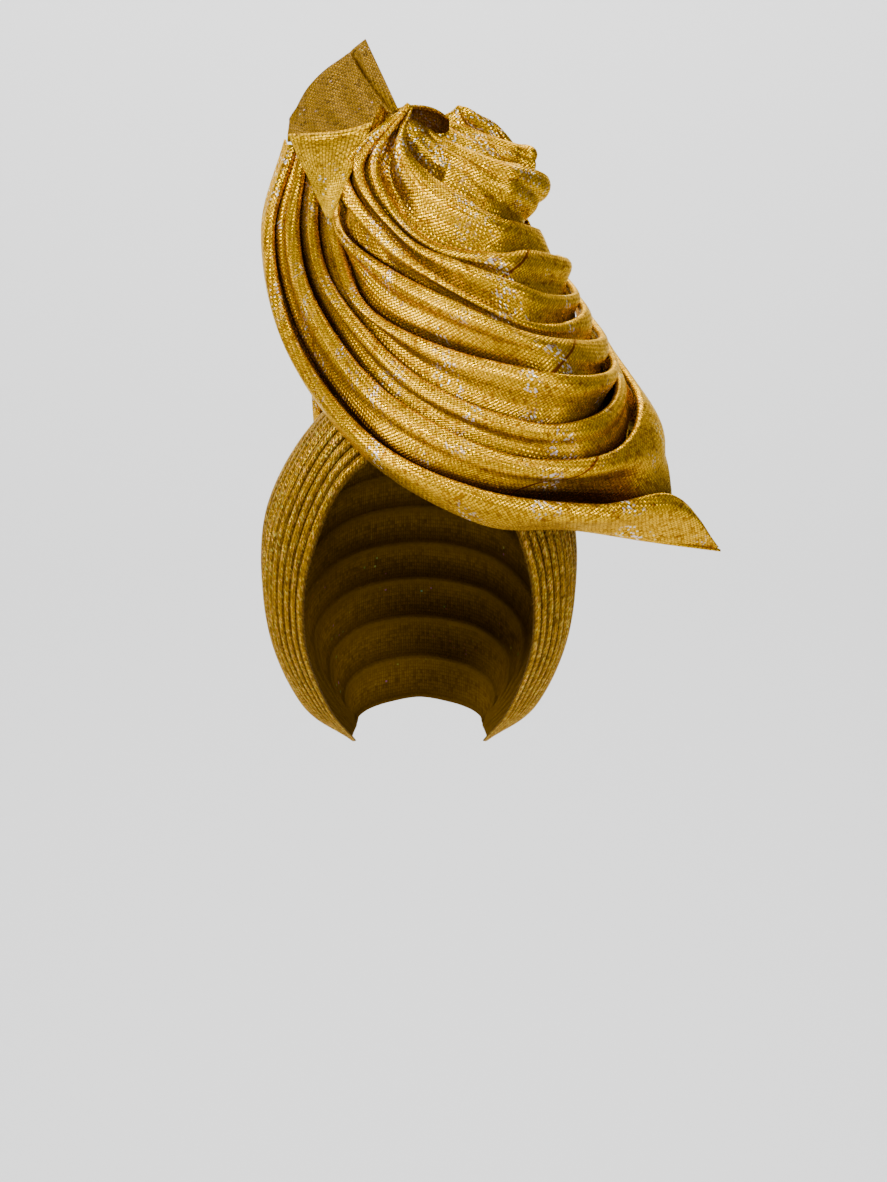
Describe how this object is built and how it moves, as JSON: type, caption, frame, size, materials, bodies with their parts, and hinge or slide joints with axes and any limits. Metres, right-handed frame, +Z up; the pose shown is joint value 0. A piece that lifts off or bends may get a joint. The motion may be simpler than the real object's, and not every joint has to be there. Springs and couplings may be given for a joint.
{
  "type": "tied gele head tie",
  "caption": "Tied gele: a pleated cloth head wrap under a tall leaning fan of nested cowl folds, with a rosette top and a pointed side tail.",
  "frame": {"origin": "where the top of the wearer's head bears on the inside of the wrap", "axes": "+Z up, -Y the way the face looks, +X to the right of someone who faces the wearer"},
  "size_m": [0.2719, 0.2317, 0.4252],
  "materials": {
    "fan_cloth": "woven gold cloth with metallic threads, satin sheen",
    "wrap_cloth": "the same cloth pressed into narrow ribs, darker, glitter on the crests"
  },
  "bodies": {
    "root": {"head_wrap": "wrap_cloth", "brim": "fan_cloth", "swag_one": "fan_cloth", "swag_two": "fan_cloth", "swag_three": "fan_cloth", "swag_four": "fan_cloth", "swag_five": "fan_cloth", "swag_six": "fan_cloth", "swag_seven": "fan_cloth", "rosette_cup": "fan_cloth", "rosette_petal": "fan_cloth", "rosette_crown": "fan_cloth", "rosette_leaf": "fan_cloth", "rosette_loop": "fan_cloth", "front_flap": "fan_cloth", "crest_tail": "fan_cloth", "back_drape": "fan_cloth"}
  },
  "joints": []
}
